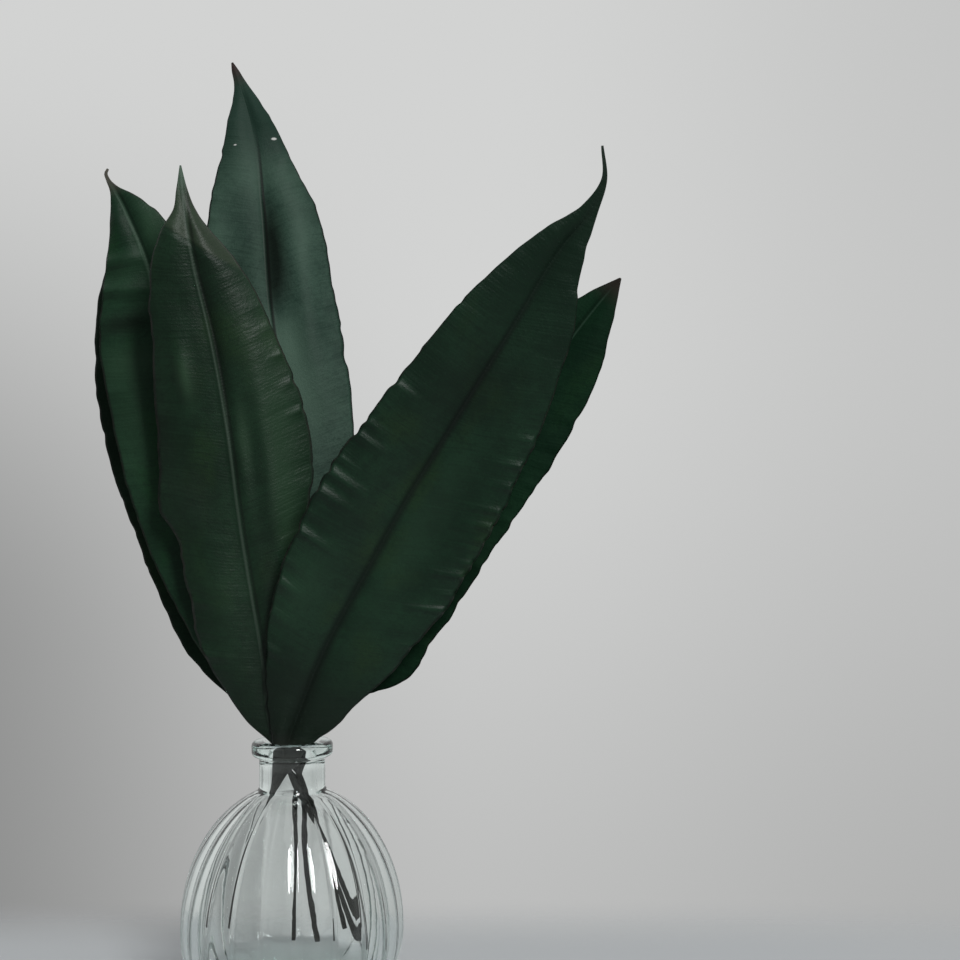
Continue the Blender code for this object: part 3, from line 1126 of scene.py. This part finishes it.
def glass_material():
    """Clear pressed glass, faintly aqua where it is thick, with a soft uneven surface."""
    material, n, shader = new_material("clear_pressed_glass")
    n.feed(shader.inputs["Base Color"], colour(0.985, 0.998, 0.994))
    n.feed(shader.inputs["Roughness"], 0.015)
    n.feed(shader.inputs["IOR"], 1.5)
    n.feed(shader.inputs["Transmission Weight"], 1.0)
    place = n.add("ShaderNodeTexCoord").outputs["Object"]
    n.feed(shader.inputs["Normal"], n.bump(n.noise(place, 90.0, 2.0), 0.25, 0.0004))
    tint = n.add("ShaderNodeVolumeAbsorption")
    n.feed(tint.inputs["Color"], colour(0.40, 0.88, 0.76))
    n.feed(tint.inputs["Density"], 14.0)
    output = material.node_tree.nodes["Material Output"]
    n.feed(output.inputs["Volume"], tint.outputs[0])
    return material


def floor_material():
    """Pale floor that fades out towards its edge and behind the vase."""
    material, n, shader = new_material("pale_floor")
    n.feed(shader.inputs["Base Color"], colour(0.47, 0.49, 0.50))
    n.feed(shader.inputs["Roughness"], 0.6)
    spot = n.add("ShaderNodeTexCoord").outputs["Object"]
    distance = n.add("ShaderNodeVectorMath", operation="LENGTH")
    n.feed(distance.inputs[0], spot)
    fade = n.ramp(distance.outputs["Value"], 0.20, FLOOR_REACH * 0.95, 1.0, 0.0)
    behind = n.ramp(n.split(spot)["Y"], 0.07, 0.16, 1.0, 0.0)
    n.feed(shader.inputs["Alpha"], n.math("MULTIPLY", fade, behind))
    return material


def add_camera():
    """Level camera at the height of the middle of the leaves, a little to the right."""
    data = bpy.data.cameras.new("camera")
    data.lens = LENS_MM
    data.sensor_width = SENSOR_MM
    camera = bpy.data.objects.new("camera", data)
    camera.location = CAMERA_PLACE
    camera.rotation_euler = (pi / 2, 0, 0)
    bpy.context.scene.collection.objects.link(camera)
    bpy.context.scene.camera = camera


def add_window():
    """The one light: a tall soft window in front, high on the right."""
    data = bpy.data.lights.new("window", "AREA")
    data.shape = "ELLIPSE"
    data.size, data.size_y = WINDOW_SIZE
    data.energy = WINDOW_POWER
    light = bpy.data.objects.new("window", data)
    light.location = WINDOW_PLACE
    aim = np.array(WINDOW_AIM) - np.array(WINDOW_PLACE)
    light.rotation_euler = Vector(aim).to_track_quat("-Z", "Y").to_euler()
    light.visible_camera = False
    bpy.context.scene.collection.objects.link(light)


def add_floor():
    """A pale round floor just below the vase's base."""
    mesh = bpy.data.meshes.new("floor")
    angles = np.arange(FLOOR_SIDES) / FLOOR_SIDES * 2 * pi
    ring = np.stack([np.cos(angles), np.sin(angles), np.zeros(FLOOR_SIDES)], axis=1)
    mesh.from_pydata((ring * FLOOR_REACH).tolist(), [], [list(range(FLOOR_SIDES))])
    mesh.materials.append(floor_material())
    floor = bpy.data.objects.new("floor", mesh)
    floor.location.z = -FLOOR_DROP
    bpy.context.scene.collection.objects.link(floor)


def wall_share(n, x, z):
    """Brightness of the backdrop: darker towards the bottom and the right, with a painted soft
    shadow low on the left.
    """
    rise = n.ramp(z, -0.42, 0.14, 0.74, 1.0)
    backdrop_shadow = n.math("MULTIPLY", n.ramp(x, -0.42, 0.0, 1.0, 0.0), n.ramp(z, -0.12, 0.30, 1.0, 0.0))
    backdrop_shadow = n.math("MULTIPLY", backdrop_shadow, n.ramp(z, -0.48, -0.26))
    backdrop_shadow = n.math("MULTIPLY", backdrop_shadow, n.ramp(x, -0.60, -0.36))
    side = n.ramp(x, 0.0, 0.34, 1.0, 0.86)
    return n.math("MULTIPLY", rise, n.math("SUBTRACT", side, n.math("MULTIPLY", backdrop_shadow, 0.56)))


def add_world():
    """A soft pale backdrop all around, and the light of a pale room from behind and above."""
    world = bpy.data.worlds.new("studio")
    bpy.context.scene.world = world
    world.use_nodes = True
    n = Nodes(world.node_tree)
    x, y, z = n.split(n.add("ShaderNodeTexCoord").outputs["Generated"])
    wall = n.mix(wall_share(n, x, z), colour(0, 0, 0), colour(0.645, 0.65, 0.645))
    room = n.mix(n.ramp(z, -0.1, 0.9), colour(0.15, 0.15, 0.15), colour(0.32, 0.33, 0.35))
    path = n.add("ShaderNodeLightPath")
    seen = n.math("MAXIMUM", path.outputs["Is Camera Ray"], path.outputs["Is Transmission Ray"])
    show_wall = n.math("MAXIMUM", seen, n.ramp(y, -0.2, 0.5))
    background = world.node_tree.nodes["Background"]
    n.feed(background.inputs["Color"], n.mix(show_wall, room, wall))


def main():
    add_camera()
    add_world()
    add_floor()
    add_window()
    for name, spec in LEAVES.items():
        leaf_piece(name, spec)
    vase_piece()
    bpy.context.scene.view_settings.view_transform = "Standard"


main()
